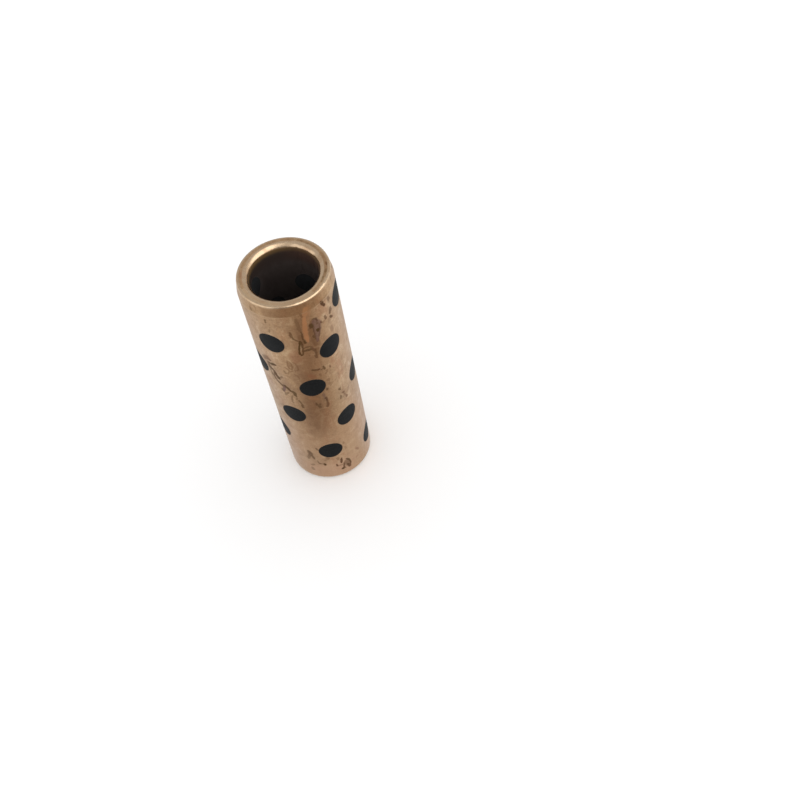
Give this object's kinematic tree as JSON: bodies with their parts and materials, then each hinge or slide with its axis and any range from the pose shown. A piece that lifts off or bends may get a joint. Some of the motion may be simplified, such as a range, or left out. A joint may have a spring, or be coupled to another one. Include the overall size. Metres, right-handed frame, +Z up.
{
  "type": "graphite plugged bushing",
  "caption": "Plain bronze sleeve bushing with flush graphite plugs set through its wall as dry lubricant, a lead-in cone on one end and a rounded bore mouth at both.",
  "frame": {"origin": "centre of the bore, in the plane of the plain end face that the bushing stands on", "axes": "+Z up the bore towards the lead-in end; -Y faces the third plug column, the one the fifth and tenth rings put a plug in"},
  "size_m": [0.021, 0.021, 0.068],
  "materials": {
    "bronze": "satin",
    "graphite": "matte"
  },
  "bodies": {
    "root": {"bronze_sleeve": "bronze", "graphite_plug_01a": "graphite", "graphite_plug_01b": "graphite", "graphite_plug_02a": "graphite", "graphite_plug_02b": "graphite", "graphite_plug_03a": "graphite", "graphite_plug_03b": "graphite", "graphite_plug_04a": "graphite", "graphite_plug_04b": "graphite", "graphite_plug_05a": "graphite", "graphite_plug_05b": "graphite", "graphite_plug_06a": "graphite", "graphite_plug_06b": "graphite", "graphite_plug_07a": "graphite", "graphite_plug_07b": "graphite", "graphite_plug_08a": "graphite", "graphite_plug_08b": "graphite", "graphite_plug_09a": "graphite", "graphite_plug_09b": "graphite", "graphite_plug_10a": "graphite", "graphite_plug_10b": "graphite", "graphite_plug_11a": "graphite", "graphite_plug_11b": "graphite"}
  },
  "joints": []
}
